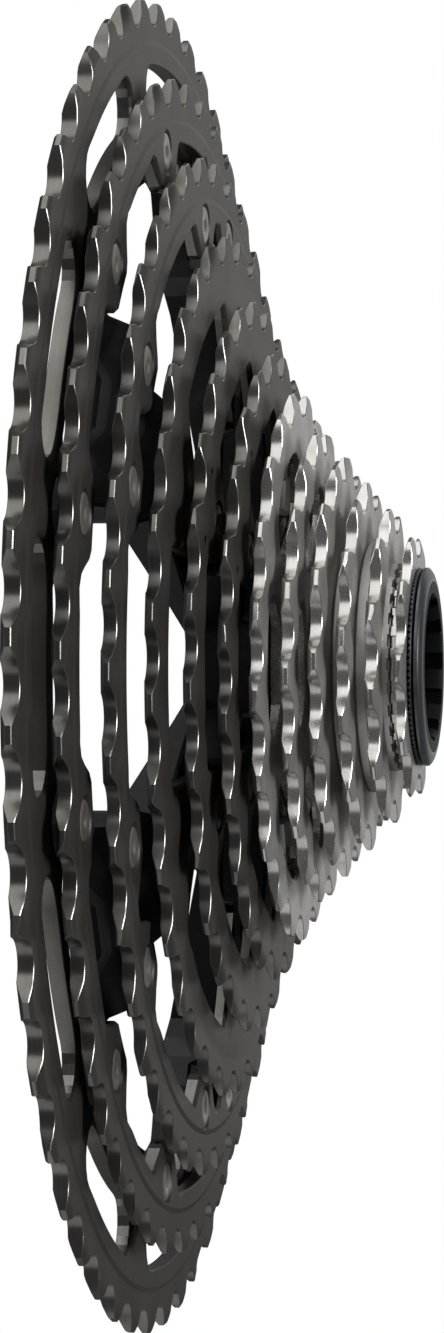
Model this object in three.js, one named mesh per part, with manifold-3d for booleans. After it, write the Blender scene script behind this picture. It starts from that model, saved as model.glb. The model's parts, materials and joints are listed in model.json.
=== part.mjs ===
// Twelve-speed bicycle cassette, 51 to 10 teeth, with its two riveted carriers, spacers and lockring.
// Millimetres. The axis is +Z, the back face of the largest sprocket lies on z = 0 and the lockring
// is on top. Polar angles are in degrees from +X.
import * as THREE from "three";
import { mergeVertices } from "three/addons/utils/BufferGeometryUtils.js";
import Module from "manifold-3d";

// Chain and tooth form
const CHAIN_PITCH = 12.7;
const ROLLER_RADIUS = 3.87;
const TIP_HALF_LENGTH = 1.25;
const TIP_RISE = 0.1;
const SEAT_STEPS = [-60, 0, 60];

// Axial stacking of the sprocket centres, from the largest to the smallest
const LARGE_STEP = 3.95;
const MIDDLE_STEP = 3.52;
const SMALL_STEP = 3.75;
const GAP = 0.3;

// Each sprocket: number of teeth, thickness, angle of its first tooth, and the role of its web
const SPROCKETS = [
  { teeth: 51, thickness: 2.3, phase: 0.9, step: 0, web: "slotted" },
  { teeth: 45, thickness: 2.0, phase: 5.9, step: LARGE_STEP, web: "twelvePads" },
  { teeth: 39, thickness: 1.9, phase: 4.1, step: LARGE_STEP, web: "pairedPads" },
  { teeth: 33, thickness: 1.8, phase: 2.9, step: MIDDLE_STEP, web: "longTabs" },
  { teeth: 28, thickness: 1.8, phase: 4.8, step: MIDDLE_STEP, web: "sixPads" },
  { teeth: 24, thickness: 1.8, phase: 10.7, step: MIDDLE_STEP, web: "innerPads" },
  { teeth: 21, thickness: 1.8, phase: 3.3, step: MIDDLE_STEP, web: "windows" },
  { teeth: 18, thickness: 1.8, phase: 13.5, step: MIDDLE_STEP, web: "windows" },
  { teeth: 16, thickness: 1.8, phase: 22.4, step: MIDDLE_STEP, web: "plain" },
  { teeth: 14, thickness: 1.8, phase: 5.5, step: MIDDLE_STEP, web: "plain" },
  { teeth: 12, thickness: 1.8, phase: 12.0, step: SMALL_STEP, web: "frontBoss" },
  { teeth: 10, thickness: 1.5, phase: 20.1, step: SMALL_STEP, web: "backBoss" },
];

// Carriers: six arms, the rivet circles and the hub
const ARMS = 6;
const ARM_PHASE = 1.3;
const OUTER_RIVET = { radius: 80.6, spread: 15 };
const SECOND_RIVET = { radius: 68.7, spread: 8.5 };
const THIRD_RIVET = { radius: 41.8, spread: 0 };
const FOURTH_RIVET = { radius: 33.7, spread: 0 };
const HUB_RADIUS = 24;
const SEAT_RADIUS = 21;
const BORE_RADIUS = 16.7;
const SMALL_BORE_RADIUS = 12.7;
const PRONG_THICKNESS = 1.2;

// Rivets
const SHANK_RADIUS = 1.8;
const HEAD_RADIUS = 2.8;
const HEAD_HEIGHT = 0.45;
const RIVET_HOLE_RADIUS = 2.25;
const RIVET_SIDES = 8;

// Spacers, washer and lockring
const SPACER_RADIUS = 19.5;
const BOSS_RADIUS = 16.2;
const BOSS_HEIGHT = 0.95;
const WASHER_THICKNESS = 0.4;
const FLANGE_RADIUS = 15.4;
const FLANGE_HEIGHT = 1.3;
const BARREL_RADIUS = 12.3;
const BARREL_LENGTH = 7.5;
const TOOL_BORE_RADIUS = 10.9;
const ROUND_SIDES = 32;

const wasm = await Module();
wasm.setup();

// ---- Points and shapes -------------------------------------------------------------------------

function polar(radius, degrees) {
  const angle = THREE.MathUtils.degToRad(degrees);
  return new THREE.Vector2(radius * Math.cos(angle), radius * Math.sin(angle));
}

function arc(radius, from, to, steps) {
  const points = [];
  for (let i = 0; i <= steps; i += 1) {
    points.push(polar(radius, from + ((to - from) * i) / steps));
  }
  return points;
}

function circlePath(centre, radius, sides) {
  const corner = (_, i) => polar(radius, (360 * i) / sides).add(centre);
  return new THREE.Path(Array.from({ length: sides }, corner));
}

function armAngles(spread) {
  const angles = [];
  for (let arm = 0; arm < ARMS; arm += 1) {
    const centre = ARM_PHASE + (360 * arm) / ARMS;
    angles.push(...(spread ? [centre - spread, centre + spread] : [centre]));
  }
  return angles;
}

function rivetHoles(circle) {
  return armAngles(circle.spread).map((angle) => {
    return circlePath(polar(circle.radius, angle), RIVET_HOLE_RADIUS, 8);
  });
}

// ---- Solids ------------------------------------------------------------------------------------

function prism(shape, bottom, top) {
  const geometry = new THREE.ExtrudeGeometry(shape, { depth: top - bottom, bevelEnabled: false });
  return geometry.translate(0, 0, bottom);
}

function solid(geometry) {
  const bare = geometry.clone();
  bare.deleteAttribute("normal");
  bare.deleteAttribute("uv");
  const merged = mergeVertices(bare, 1e-4);
  const vertProperties = new Float32Array(merged.attributes.position.array);
  const triVerts = new Uint32Array(merged.index.array);
  return new wasm.Manifold(new wasm.Mesh({ numProp: 3, vertProperties, triVerts }));
}

function surface(manifold) {
  const mesh = manifold.getMesh();
  const geometry = new THREE.BufferGeometry();
  geometry.setAttribute("position", new THREE.BufferAttribute(mesh.vertProperties, 3));
  geometry.setIndex(new THREE.BufferAttribute(mesh.triVerts, 1));
  return geometry;
}

function joined(geometries) {
  return surface(geometries.map(solid).reduce((whole, next) => whole.add(next)));
}

// A closed profile of [radius, height] points turned around the axis.
function turned(profile, sides) {
  const points = profile.map(([radius, height]) => new THREE.Vector2(radius, height));
  const lathe = new THREE.LatheGeometry(points, sides);
  return lathe.rotateX(Math.PI / 2);
}

function tube(innerRadius, outerRadius, bottom, top, sides) {
  const shape = new THREE.Shape(arc(outerRadius, 0, 360 - 360 / sides, sides - 1));
  shape.holes.push(new THREE.Path(arc(innerRadius, 0, 360 - 360 / sides, sides - 1)));
  return prism(shape, bottom, top);
}

// ---- Sprockets ---------------------------------------------------------------------------------

function pitchRadius(teeth) {
  return CHAIN_PITCH / (2 * Math.sin(Math.PI / teeth));
}

// One gap between two teeth: the roller seat, then the land of the next tooth.
function toothSpace(teeth, gapAngle) {
  const radius = pitchRadius(teeth);
  const seatCentre = polar(radius, gapAngle);
  const seat = SEAT_STEPS.map((swing) => {
    return polar(ROLLER_RADIUS, gapAngle + 180 - swing).add(seatCentre);
  });
  const tipRadius = radius + TIP_RISE;
  const tipAngle = gapAngle + 180 / teeth;
  const halfLand = THREE.MathUtils.radToDeg(TIP_HALF_LENGTH / tipRadius);
  return [...seat, polar(tipRadius, tipAngle - halfLand), polar(tipRadius, tipAngle + halfLand)];
}

function toothedShape(teeth, phase) {
  const points = [];
  for (let tooth = 0; tooth < teeth; tooth += 1) {
    points.push(...toothSpace(teeth, phase + (360 * (tooth - 0.5)) / teeth));
  }
  return new THREE.Shape(points);
}

// An inner edge that runs at openRadius and steps in to padRadius around each pad.
function paddedEdge(openRadius, padRadius, angles, halfWidth) {
  const points = [];
  angles.forEach((angle, i) => {
    const next = i + 1 < angles.length ? angles[i + 1] : angles[0] + 360;
    const foot = THREE.MathUtils.radToDeg((halfWidth + 2.5) / openRadius);
    const shoulder = THREE.MathUtils.radToDeg(halfWidth / padRadius);
    const steps = Math.max(1, Math.round((next - angle - 2 * foot) / 8));
    points.push(polar(padRadius, angle - shoulder), polar(padRadius, angle + shoulder));
    points.push(...arc(openRadius, angle + foot, next - foot, steps));
  });
  return new THREE.Path(points);
}

// A kidney-shaped slot between two radii with round ends.
function kidney(innerRadius, outerRadius, centre, halfAngle) {
  const middle = (innerRadius + outerRadius) / 2;
  const endRadius = (outerRadius - innerRadius) / 2;
  const reach = halfAngle - THREE.MathUtils.radToDeg(endRadius / middle);
  const roundEnd = (angle, from) => {
    return [45, 90, 135].map((turn) => {
      return polar(endRadius, angle + from + turn).add(polar(middle, angle));
    });
  };
  return new THREE.Path([
    ...arc(outerRadius, centre - reach, centre + reach, 3),
    ...roundEnd(centre + reach, 0),
    ...arc(innerRadius, centre + reach, centre - reach, 3),
    ...roundEnd(centre - reach, 180),
  ]);
}

function kidneyRing(count, innerRadius, outerRadius, halfAngle, phase) {
  return Array.from({ length: count }, (_, i) => {
    return kidney(innerRadius, outerRadius, phase + (360 * i) / count, halfAngle);
  });
}

// The openings of each kind of web. `root` is the radius at the bottom of the teeth.
const webs = {
  slotted: () => [
    paddedEdge(81, 75.9, armAngles(OUTER_RIVET.spread), 4.6),
    ...rivetHoles(OUTER_RIVET),
    ...kidneyRing(12, 84.5, 93.4, 11.3, ARM_PHASE),
  ],
  twelvePads: (root) => [
    paddedEdge(root - 5.7, 75.6, armAngles(OUTER_RIVET.spread), 5),
    ...rivetHoles(OUTER_RIVET),
  ],
  pairedPads: (root) => [
    paddedEdge(root - 5.8, 63.8, armAngles(SECOND_RIVET.spread), 4.6),
    ...rivetHoles(SECOND_RIVET),
  ],
  longTabs: (root) => [
    paddedEdge(root - 6.3, 37.2, armAngles(0), 5),
    ...rivetHoles(THIRD_RIVET),
  ],
  sixPads: (root) => [
    paddedEdge(root - 5.5, 37.4, armAngles(0), 4.6),
    ...rivetHoles(THIRD_RIVET),
  ],
  innerPads: (root) => [
    paddedEdge(root - 4.9, 29.4, armAngles(0), 4.6),
    ...rivetHoles(FOURTH_RIVET),
  ],
  windows: (root) => [
    circlePath(polar(0, 0), BORE_RADIUS, 32),
    ...kidneyRing(ARMS, HUB_RADIUS - 2, root - 4.2, 22, ARM_PHASE + 30),
  ],
  plain: () => [circlePath(polar(0, 0), BORE_RADIUS, 32)],
  frontBoss: () => [circlePath(polar(0, 0), SMALL_BORE_RADIUS, 32)],
  backBoss: () => [circlePath(polar(0, 0), SMALL_BORE_RADIUS, 32)],
};

function sprocketGeometry({ teeth, thickness, phase, web }) {
  const root = pitchRadius(teeth) - ROLLER_RADIUS;
  const shape = toothedShape(teeth, phase);
  shape.holes.push(...webs[web](root));
  const half = thickness / 2;
  const plate = prism(shape, -half, half);
  const boss = (bottom, top) => tube(SMALL_BORE_RADIUS, BOSS_RADIUS, bottom, top, 32);
  if (web === "frontBoss") return joined([plate, boss(-half, half + BOSS_HEIGHT)]);
  if (web === "backBoss") return joined([plate, boss(-half - BOSS_HEIGHT, half)]);
  return plate;
}

// ---- Carriers ----------------------------------------------------------------------------------

// An outline given as [along the arm, across it] on one side and mirrored on the other.
function armShape(armAngle, half) {
  const mirrored = half.slice().reverse().filter(([, across]) => across > 0);
  const whole = [...half, ...mirrored.map(([along, across]) => [along, -across])];
  const turn = THREE.MathUtils.degToRad(armAngle);
  const place = ([along, across]) => {
    return new THREE.Vector2(along, -across).rotateAround(new THREE.Vector2(), turn);
  };
  return new THREE.Shape(whole.map(place));
}

const OUTER_ARM_ROOT = [[22, 8], [40, 7.2]];
const OUTER_ARM_SLOPE = [[36, 7.4], [50, 6.8]];
const OUTER_ARM_STEM = [[46, 6.9], [54.6, 6.6], [60, 11.8], [62, 11.4], [63.2, 5]];
const OUTER_ARM_MIDDLE = [[46, 6.9], [54.6, 6.6], [64, 13.6], [72.9, 15.2]];
const OUTER_ARM_PRONGS = [
  [46, 6.9], [54.6, 6.6], [64.2, 13.4], [72.2, 16], [73.4, 23.1], [77.9, 25.8], [82.7, 23.8], [82.9, 18.2],
  [78.6, 15.2], [74.6, 9.8], [73.2, 4],
];
const INNER_ARM_STEM = [[20, 6], [35.8, 5.6], [36.7, 3]];
const INNER_ARM_TIP = [[20, 6], [42, 5.4], [44.6, 4.6], [46, 2.8]];

// Heights of the dished back of the outer carrier: at the seat, the hub, and two steps down the arm
const SEAT_HEIGHT = 9.7;
const HUB_HEIGHT = 10;
const ARM_ROOT_HEIGHT = 8.3;
const ARM_SLOPE_HEIGHT = 5.6;

function armSlabs(outline, bottom, top) {
  return armAngles(0).map((angle) => prism(armShape(angle, outline), bottom, top));
}

function rivetBores(circle, bottom, top) {
  return armAngles(circle.spread).map((angle) => {
    const hole = circlePath(polar(circle.radius, angle), RIVET_HOLE_RADIUS, 8);
    return prism(new THREE.Shape(hole.getPoints()), bottom, top);
  });
}

function cut(geometry, tools) {
  const body = tools.map(solid).reduce((left, tool) => left.subtract(tool), solid(geometry));
  return surface(body);
}

// The three largest sprockets sit on this one: prongs behind the second, steps behind the next two.
// Its back is dished: the hub stands well above the arm ends and seats on the shoulder of the freehub.
function outerCarrierGeometry(level) {
  const bottom = level.front(0) + GAP;
  const hubTop = level.back(3) - GAP;
  const pieces = [
    tube(BORE_RADIUS, SEAT_RADIUS, SEAT_HEIGHT, hubTop, ROUND_SIDES),
    tube(BORE_RADIUS, HUB_RADIUS, HUB_HEIGHT, hubTop, ROUND_SIDES),
    ...armSlabs(OUTER_ARM_ROOT, ARM_ROOT_HEIGHT, hubTop),
    ...armSlabs(OUTER_ARM_SLOPE, ARM_SLOPE_HEIGHT, hubTop),
    ...armSlabs(OUTER_ARM_STEM, bottom, hubTop),
    ...armSlabs(OUTER_ARM_MIDDLE, bottom, level.back(2) - GAP),
    ...armSlabs(OUTER_ARM_PRONGS, bottom, bottom + PRONG_THICKNESS),
  ];
  const top = level.back(3);
  const holes = [OUTER_RIVET, SECOND_RIVET].flatMap((circle) => rivetBores(circle, 0, top));
  return cut(joined(pieces), holes);
}

// The next three sprockets sit on this one: thin tips between the first two, stems behind the third.
function innerCarrierGeometry(level) {
  const bottom = level.back(3);
  const pieces = [
    tube(BORE_RADIUS, HUB_RADIUS, bottom, level.back(6) - GAP, ROUND_SIDES),
    ...armSlabs(INNER_ARM_TIP, level.front(3) + GAP, level.back(4) - GAP),
    ...armSlabs(INNER_ARM_STEM, bottom, level.back(5) - GAP),
  ];
  const top = level.back(6);
  const holes = [THIRD_RIVET, FOURTH_RIVET].flatMap((circle) => rivetBores(circle, 0, top));
  return cut(joined(pieces), holes);
}

// ---- Fasteners ---------------------------------------------------------------------------------

function rivetGeometry(tail, face) {
  const underHead = face + GAP;
  const top = underHead + HEAD_HEIGHT;
  const profile = [
    [0, tail], [SHANK_RADIUS, tail], [SHANK_RADIUS, underHead], [HEAD_RADIUS, underHead],
    [HEAD_RADIUS - 0.2, top], [0, top],
  ];
  return turned(profile, RIVET_SIDES);
}

// A flange with a rounded shoulder on a threaded barrel; the bore takes the tool.
function lockringGeometry() {
  const top = FLANGE_HEIGHT;
  const profile = [
    [TOOL_BORE_RADIUS, -BARREL_LENGTH], [BARREL_RADIUS, -BARREL_LENGTH], [BARREL_RADIUS, 0],
    [FLANGE_RADIUS, 0], [FLANGE_RADIUS, 0.3 * top], [FLANGE_RADIUS - 0.6, 0.75 * top],
    [FLANGE_RADIUS - 2, top], [TOOL_BORE_RADIUS, top], [TOOL_BORE_RADIUS, -BARREL_LENGTH],
  ];
  return turned(profile, ROUND_SIDES);
}

// ---- Materials ---------------------------------------------------------------------------------

function metal(color, roughness, metalness) {
  return () => new THREE.MeshStandardMaterial({ color, roughness, metalness });
}

const darkSteel = metal(0x4b494a, 0.42, 0.9);
const brightSteel = metal(0xb4b1ab, 0.3, 1.0);
const blackAnodised = metal(0x17181a, 0.5, 0.5);
const rivetSteel = metal(0x8f8a84, 0.35, 1.0);
const lockringAlloy = metal(0x33363b, 0.35, 0.8);

// ---- Assembly ----------------------------------------------------------------------------------

const cassette = new THREE.Group();
cassette.name = "cassette";

function place(name, geometry, material, position = new THREE.Vector3()) {
  const mesh = new THREE.Mesh(geometry, material());
  mesh.name = name;
  mesh.position.copy(position);
  cassette.add(mesh);
}

let centre = SPROCKETS[0].thickness / 2;
const centres = SPROCKETS.map((sprocket) => {
  centre += sprocket.step;
  return centre;
});
const level = {
  back: (i) => centres[i] - SPROCKETS[i].thickness / 2,
  front: (i) => centres[i] + SPROCKETS[i].thickness / 2,
};

SPROCKETS.forEach((sprocket, i) => {
  const steel = sprocket.teeth > 21 ? darkSteel : brightSteel;
  const position = new THREE.Vector3(0, 0, centres[i]);
  place(`sprocket_${sprocket.teeth}t`, sprocketGeometry(sprocket), steel, position);
});

place("outer_carrier", outerCarrierGeometry(level), blackAnodised);
place("inner_carrier", innerCarrierGeometry(level), blackAnodised);

function placeRivets(label, circle, tail, face) {
  armAngles(circle.spread).forEach((angle, i) => {
    const spot = polar(circle.radius, angle);
    const name = `rivet_${label}_${String(i + 1).padStart(2, "0")}`;
    place(name, rivetGeometry(tail, face), rivetSteel, new THREE.Vector3(spot.x, spot.y, 0));
  });
}

placeRivets("45t", OUTER_RIVET, level.back(0) + GAP, level.front(1));
placeRivets("39t", SECOND_RIVET, level.front(0) + 2 * GAP, level.front(2));
placeRivets("28t", THIRD_RIVET, level.back(3), level.front(4));
placeRivets("24t", FOURTH_RIVET, level.back(3) + GAP, level.front(5));

for (const i of [6, 7, 8, 9]) {
  const [bottom, top] = [level.front(i) + GAP, level.back(i + 1) - GAP];
  const name = `spacer_${SPROCKETS[i].teeth}t_${SPROCKETS[i + 1].teeth}t`;
  place(name, tube(BORE_RADIUS, SPACER_RADIUS, bottom, top, ROUND_SIDES), brightSteel);
}

const washerBottom = level.front(11) + GAP;
const washerTop = washerBottom + WASHER_THICKNESS;
const washer = tube(SMALL_BORE_RADIUS, FLANGE_RADIUS - 0.1, washerBottom, washerTop, ROUND_SIDES);
place("lockring_washer", washer, rivetSteel);
place("lockring", lockringGeometry(), lockringAlloy, new THREE.Vector3(0, 0, washerTop + GAP));

export default cassette;
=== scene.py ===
"""Looks of a twelve-speed bicycle cassette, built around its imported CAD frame.

The axis is +Z, the largest sprocket stands on z = 0 and the lockring is on top. Meshes are drawn in
millimetres and scaled to metres when they are made. Polar angles are in degrees from +X.
"""
import json
import math

import bpy
import numpy as np
from mathutils import Euler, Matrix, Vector
from mathutils.geometry import delaunay_2d_cdt

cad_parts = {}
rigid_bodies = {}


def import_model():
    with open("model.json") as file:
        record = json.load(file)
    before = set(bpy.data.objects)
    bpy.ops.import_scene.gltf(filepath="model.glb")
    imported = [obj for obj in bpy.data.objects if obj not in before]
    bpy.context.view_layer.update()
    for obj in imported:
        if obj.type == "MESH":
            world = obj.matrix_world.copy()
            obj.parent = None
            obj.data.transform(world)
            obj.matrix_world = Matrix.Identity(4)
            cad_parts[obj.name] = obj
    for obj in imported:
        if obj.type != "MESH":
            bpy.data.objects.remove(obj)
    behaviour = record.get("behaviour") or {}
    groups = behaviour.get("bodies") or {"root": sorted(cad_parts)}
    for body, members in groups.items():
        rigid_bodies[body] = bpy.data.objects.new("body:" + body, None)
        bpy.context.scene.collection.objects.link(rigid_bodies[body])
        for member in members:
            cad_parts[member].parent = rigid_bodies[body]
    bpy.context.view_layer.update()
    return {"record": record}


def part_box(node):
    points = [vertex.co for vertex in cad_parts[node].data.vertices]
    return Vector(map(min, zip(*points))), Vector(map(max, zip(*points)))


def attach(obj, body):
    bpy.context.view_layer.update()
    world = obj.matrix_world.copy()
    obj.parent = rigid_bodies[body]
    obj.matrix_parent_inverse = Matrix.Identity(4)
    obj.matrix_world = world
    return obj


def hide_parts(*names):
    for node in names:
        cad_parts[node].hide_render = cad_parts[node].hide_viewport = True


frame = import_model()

MM = 0.001

# ---- Sizes ---------------------------------------------------------------------------------------

CHAIN_PITCH = 12.7
ROLLER_RADIUS = 3.87
TIP_RISE = 0.1
TIP_HALF_LENGTH = 1.25
FRONT_BEVEL = 1.4
BACK_BEVEL = 2.0
FRONT_SHARE = 0.14
BACK_SHARE = 0.46
SHIFT_CUT_DEPTH = 3.7
RIM_DEPTH = 1.2
EDGE_BREAK = 0.09
TOOTH_COLUMNS = (-1, -0.5, 0, 0.5, 1)

# Angle of each sprocket's first tooth, by number of teeth
FIRST_TOOTH = {51: 0.9, 45: 5.9, 39: 4.1, 33: 2.9, 28: 4.8, 24: 10.7,
               21: 3.3, 18: 13.5, 16: 22.4, 14: 5.5, 12: 12.0, 10: 20.1}
# Every how many teeth a skewed and a relieved tooth come
SHIFT_PERIOD = {51: 13, 45: 11, 39: 10, 33: 8, 28: 7, 24: 6, 21: 7, 18: 6, 16: 5, 14: 7, 12: 6, 10: 5}

ARMS = 6
ARM_PHASE = 1.3
HUB_RADIUS = 24.0
BORE_RADIUS = 16.7
SMALL_BORE_RADIUS = 12.7
BOSS_RADIUS = 16.2
BOSS_HEIGHT = 0.95
BOSS_NOTCHES = 28
NOTCH_DEPTH = 0.24
SPLINES = 23
SPLINE_DEPTH = 0.6
RIVET_SEAT_RADIUS = 3.6
RIVET_SEAT_DEPTH = 0.55
RIVET_HOLE_RADIUS = 2.25


# ---- Points --------------------------------------------------------------------------------------

def polar(radius, degrees):
    angle = np.radians(degrees)
    return np.stack([radius * np.cos(angle), radius * np.sin(angle)], axis=-1)


def ring(radius, steps, phase=0.0, centre=(0, 0)):
    """A closed line of equal steps on a circle."""
    return polar(np.full(steps, float(radius)), phase + np.arange(steps) * 360 / steps) + np.array(centre)


def arm_angles(spread=0.0):
    centres = ARM_PHASE + np.arange(ARMS) * 360 / ARMS
    return np.sort(np.concatenate([centres - spread, centres + spread])) if spread else centres


def angle_gap(angles, target):
    """Signed angle from the target, between -180 and 180 degrees."""
    return (np.asarray(angles) - target + 180) % 360 - 180


def smooth(value):
    value = np.clip(value, 0, 1)
    return value * value * (3 - 2 * value)


def inside_loop(points, loop):
    """Which points lie inside a closed line."""
    x, y = points[:, 0:1], points[:, 1:2]
    start, end = loop, np.roll(loop, -1, axis=0)
    crosses = (start[:, 1] > y) != (end[:, 1] > y)
    rise = np.where(end[:, 1] == start[:, 1], 1e-12, end[:, 1] - start[:, 1])
    reach = start[:, 0] + (y - start[:, 1]) * (end[:, 0] - start[:, 0]) / rise
    return (crosses & (x < reach)).sum(axis=1) % 2 == 1


def distance_to_loop(points, loop):
    """Distance of each point from a closed line."""
    start, end = loop[None], np.roll(loop, -1, axis=0)[None]
    along = end - start
    share = ((points[:, None] - start) * along).sum(-1) / np.maximum((along ** 2).sum(-1), 1e-12)
    nearest = start + np.clip(share, 0, 1)[..., None] * along
    return np.sqrt(((points[:, None] - nearest) ** 2).sum(-1)).min(axis=1)


def offset_loop(loop, widths):
    """The loop moved outwards by widths (a number, or one for each point)."""
    ahead, behind = np.roll(loop, -1, axis=0), np.roll(loop, 1, axis=0)
    along = ahead - behind
    along /= np.maximum(np.linalg.norm(along, axis=1, keepdims=True), 1e-9)
    out = np.stack([along[:, 1], -along[:, 0]], axis=1)
    area = (loop[:, 0] * ahead[:, 1] - ahead[:, 0] * loop[:, 1]).sum()
    return loop + out * np.sign(area) * np.reshape(widths, (-1, 1) if np.ndim(widths) else (1, 1))


# ---- Meshes --------------------------------------------------------------------------------------

def new_piece(name, points, faces, finishes, finish_of_face, smooth_angle=28):
    """A mesh object from points in millimetres; its finishes are materials."""
    mesh = bpy.data.meshes.new(name)
    mesh.from_pydata([tuple(point) for point in np.asarray(points) * MM], [], faces)
    for finish in finishes:
        mesh.materials.append(finish)
    mesh.polygons.foreach_set("material_index", np.asarray(finish_of_face, np.int32))
    mesh.shade_smooth()
    mesh.set_sharp_from_angle(angle=math.radians(smooth_angle))
    mesh.update()
    piece = bpy.data.objects.new(name, mesh)
    bpy.context.scene.collection.objects.link(piece)
    return piece


def plate_mesh(lines, is_metal, front, back, open_radius=None, edge_break=EDGE_BREAK):
    """Points, faces and finish numbers of a plate between two height maps.

    The finishes are 0 for the face, 1 for the cut wall and 2 for the broken edge.

    The lines are closed loops that the faces bend along. The plate has metal where is_metal says so,
    and no wall along the circle of open_radius, where the teeth join on.
    """
    verts, edges = [], []
    for loop in lines:
        first = len(verts)
        verts.extend(Vector(point) for point in loop)
        edges.extend((first + i, first + (i + 1) % len(loop)) for i in range(len(loop)))
    flat, _, triangles, *_ = delaunay_2d_cdt(verts, edges, [], 0, 1e-5)
    flat = np.array([tuple(v) for v in flat])
    triangles = np.array([t for t in triangles if len(t) == 3])
    triangles = triangles[is_metal(flat[triangles].mean(axis=1))]
    count = {}
    for a, b, c in triangles:
        for pair in ((a, b), (b, c), (c, a)):
            count[pair] = count.get(pair, 0) + 1
    border = [pair for pair in count if (pair[1], pair[0]) not in count]
    if open_radius is not None:
        radius = np.linalg.norm(flat, axis=1)
        border = [(a, b) for a, b in border if min(radius[a], radius[b]) < open_radius - 0.02]
    on_border = sorted({v for pair in border for v in pair})
    used = sorted(set(triangles.ravel()))
    slot = {v: i for i, v in enumerate(used)}
    height_front, height_back = front(flat[used]), back(flat[used])
    rim = np.array([slot[v] for v in on_border], int)
    open_rim = np.zeros(len(used), bool)
    if open_radius is not None:
        open_rim = np.linalg.norm(flat[used], axis=1) > open_radius - 0.02
    drop = np.zeros(len(used))
    drop[rim] = edge_break
    drop[open_rim] = 0
    top = np.column_stack([flat[used], height_front - drop])
    bottom = np.column_stack([flat[used], height_back + drop])
    total = len(used)
    points = np.concatenate([top, bottom])
    faces, finish = [], []
    for a, b, c in triangles:
        a, b, c = slot[a], slot[b], slot[c]
        broken = 2 if drop[a] + drop[b] + drop[c] > 0 else 0
        faces.extend([(a, b, c), (a + total, c + total, b + total)])
        finish.extend([broken, broken])
    for a, b in border:
        a, b = slot[a], slot[b]
        faces.append((b, a, a + total, b + total))
        finish.append(1)
    return points, faces, finish


def turned_mesh(profile, steps, radial=None, axial=None):
    """A closed profile of (radius, height) turned round the axis.

    The radial and axial functions may shift each point by its angle.
    """
    angles = np.arange(steps) * 360 / steps
    rows = []
    for i, (radius, height) in enumerate(profile):
        radii = np.full(steps, float(radius)) + (radial(i, angles) if radial else 0)
        heights = np.full(steps, float(height)) + (axial(i, angles) if axial else 0)
        rows.append(np.column_stack([polar(radii, angles), heights]))
    points = np.concatenate(rows)
    faces = []
    for i in range(len(profile)):
        low, high = i * steps, ((i + 1) % len(profile)) * steps
        for j in range(steps):
            k = (j + 1) % steps
            faces.append((low + j, low + k, high + k, high + j))
    return points, faces


# ---- Geometry Nodes ------------------------------------------------------------------------------

def node_tree(name, inputs):
    """A Geometry Nodes tree with a mesh going in and out, and the named inputs."""
    tree = bpy.data.node_groups.new(name, "GeometryNodeTree")
    tree.interface.new_socket("Geometry", in_out="INPUT", socket_type="NodeSocketGeometry")
    for label, kind in inputs:
        tree.interface.new_socket(label, in_out="INPUT", socket_type=kind)
    tree.interface.new_socket("Geometry", in_out="OUTPUT", socket_type="NodeSocketGeometry")
    return tree, tree.nodes.new("NodeGroupInput"), tree.nodes.new("NodeGroupOutput")


def maths(tree, operation, first, second):
    node = tree.nodes.new("ShaderNodeMath")
    node.operation = operation
    for socket, value in zip(node.inputs, (first, second)):
        if isinstance(value, (int, float)):
            socket.default_value = value
        else:
            tree.links.new(value, socket)
    return node.outputs[0]


def toothed_ring_tree():
    """Copies tooth sectors round the axis, welds them to the web that comes in, and sets the finishes."""
    tree, start, end = node_tree("Toothed ring", [
        ("Teeth", "NodeSocketInt"), ("First tooth", "NodeSocketFloat"), ("Shift period", "NodeSocketInt"),
        ("Tooth kinds", "NodeSocketCollection"), ("Face steel", "NodeSocketMaterial"),
        ("Flank steel", "NodeSocketMaterial"), ("Edge highlight steel", "NodeSocketMaterial")])
    new, link = tree.nodes.new, tree.links.new
    line = new("GeometryNodeMeshLine")
    line.inputs["Offset"].default_value = (0, 0, 0)
    link(start.outputs["Teeth"], line.inputs["Count"])
    kinds = new("GeometryNodeCollectionInfo")
    kinds.inputs["Separate Children"].default_value = True
    link(start.outputs["Tooth kinds"], kinds.inputs["Collection"])
    index = new("GeometryNodeInputIndex").outputs[0]
    step = maths(tree, "MODULO", index, start.outputs["Shift period"])
    skewed = maths(tree, "COMPARE", step, 2)
    relieved = maths(tree, "MULTIPLY", maths(tree, "COMPARE", step, 5), 2)
    centred = maths(tree, "MULTIPLY", maths(tree, "COMPARE", step, 4), 3)
    kind = maths(tree, "ADD", maths(tree, "ADD", skewed, relieved), centred)
    turn = maths(tree, "DIVIDE", maths(tree, "MULTIPLY", index, math.tau), start.outputs["Teeth"])
    spin = new("ShaderNodeCombineXYZ")
    link(maths(tree, "ADD", turn, start.outputs["First tooth"]), spin.inputs["Z"])
    copies = new("GeometryNodeInstanceOnPoints")
    copies.inputs["Pick Instance"].default_value = True
    link(line.outputs["Mesh"], copies.inputs["Points"])
    link(kinds.outputs[0], copies.inputs["Instance"])
    link(kind, copies.inputs["Instance Index"])
    link(spin.outputs[0], copies.inputs["Rotation"])
    join = new("GeometryNodeJoinGeometry")
    link(start.outputs["Geometry"], join.inputs[0])
    link(copies.outputs["Instances"], join.inputs[0])
    real = new("GeometryNodeRealizeInstances")
    link(join.outputs[0], real.inputs[0])
    weld = new("GeometryNodeMergeByDistance")
    weld.inputs["Distance"].default_value = 4e-6
    link(real.outputs[0], weld.inputs["Geometry"])
    finish = new("GeometryNodeInputNamedAttribute")
    finish.data_type = "INT"
    finish.inputs["Name"].default_value = "finish"
    shape = weld.outputs[0]
    # Finish 2, the broken edges, takes the lighter steel of the edges: a painted highlight along the teeth
    for number, label in enumerate(("Face steel", "Flank steel", "Edge highlight steel")):
        paint = new("GeometryNodeSetMaterial")
        link(shape, paint.inputs["Geometry"])
        link(maths(tree, "COMPARE", finish.outputs["Attribute"], number), paint.inputs["Selection"])
        link(start.outputs[label], paint.inputs["Material"])
        shape = paint.outputs[0]
    link(shape, end.inputs["Geometry"])
    return tree


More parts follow.
